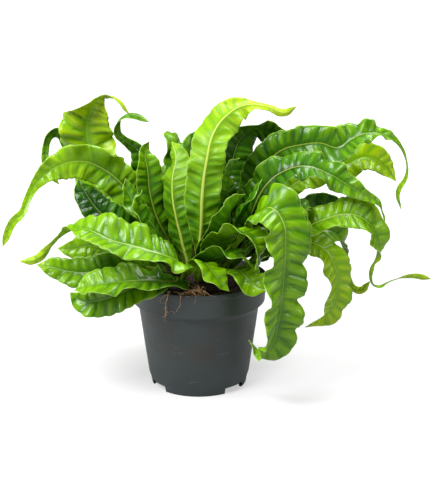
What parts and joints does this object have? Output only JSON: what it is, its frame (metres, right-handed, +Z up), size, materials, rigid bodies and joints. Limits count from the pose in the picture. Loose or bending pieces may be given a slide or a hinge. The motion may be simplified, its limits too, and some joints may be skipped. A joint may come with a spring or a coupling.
{
  "type": "potted bird's-nest fern",
  "caption": "Curly bird's-nest fern in a plastic nursery pot: wavy, twisted strap fronds arch out of a fibrous crown and run into thin tails.",
  "frame": {"origin": "centre of the pot's foot, on the ground", "axes": "+Z up, -Y towards the plant's best side, X along its widest spread"},
  "size_m": [0.5279, 0.3179, 0.358],
  "materials": {
    "pot_plastic": "moulded dark grey plastic, satin, lightly scuffed",
    "potting_mix": "damp peat and bark crumbs, rough",
    "rootstock": "dark scaly root fibre, rough",
    "surface_root": "thin tan root fibre, dull",
    "frond_leaf": "leathery green blade, glossy, corrugated by its side veins"
  },
  "bodies": {
    "root": {"frond_back_01": "frond_leaf", "frond_back_02": "frond_leaf", "frond_back_03": "frond_leaf", "frond_back_04": "frond_leaf", "frond_back_05": "frond_leaf", "frond_back_06": "frond_leaf", "frond_back_07": "frond_leaf", "frond_back_08": "frond_leaf", "frond_back_09": "frond_leaf", "frond_back_10": "frond_leaf", "frond_back_dark_arch": "frond_leaf", "frond_centre_back_upright": "frond_leaf", "frond_centre_left_upright": "frond_leaf", "frond_centre_tall": "frond_leaf", "frond_front_left_broad": "frond_leaf", "frond_front_right_curl": "frond_leaf", "frond_front_right_hang": "frond_leaf", "frond_front_right_short": "frond_leaf", "frond_front_right_under": "frond_leaf", "frond_front_short": "frond_leaf", "frond_inner_back_right": "frond_leaf", "frond_inner_front": "frond_leaf", "frond_inner_left_near": "frond_leaf", "frond_inner_right_low": "frond_leaf", "frond_inner_right_near": "frond_leaf", "frond_left_back_curl": "frond_leaf", "frond_left_back_droop": "frond_leaf", "frond_left_blunt": "frond_leaf", "frond_left_dark_broad": "frond_leaf", "frond_left_inner_high": "frond_leaf", "frond_left_inner_low": "frond_leaf", "frond_left_long_strap": "frond_leaf", "frond_left_low_wide": "frond_leaf", "frond_left_lowest": "frond_leaf", "frond_left_pointed": "frond_leaf", "frond_left_tall_fold": "frond_leaf", "frond_left_upright": "frond_leaf", "frond_right_back_pale": "frond_leaf", "frond_right_c_loop": "frond_leaf", "frond_right_dark_fold": "frond_leaf", "frond_right_long_arch": "frond_leaf", "frond_right_long_twist": "frond_leaf", "frond_right_low_back": "frond_leaf", "frond_right_mid_arch": "frond_leaf", "frond_right_mid_twist": "frond_leaf", "frond_right_shoulder": "frond_leaf", "frond_right_tip_pale": "frond_leaf", "pot": "pot_plastic", "potting_mix": "potting_mix", "rootstock": "rootstock", "surface_root_curled": "surface_root", "surface_root_hanging": "surface_root", "surface_root_short": "surface_root"}
  },
  "joints": []
}
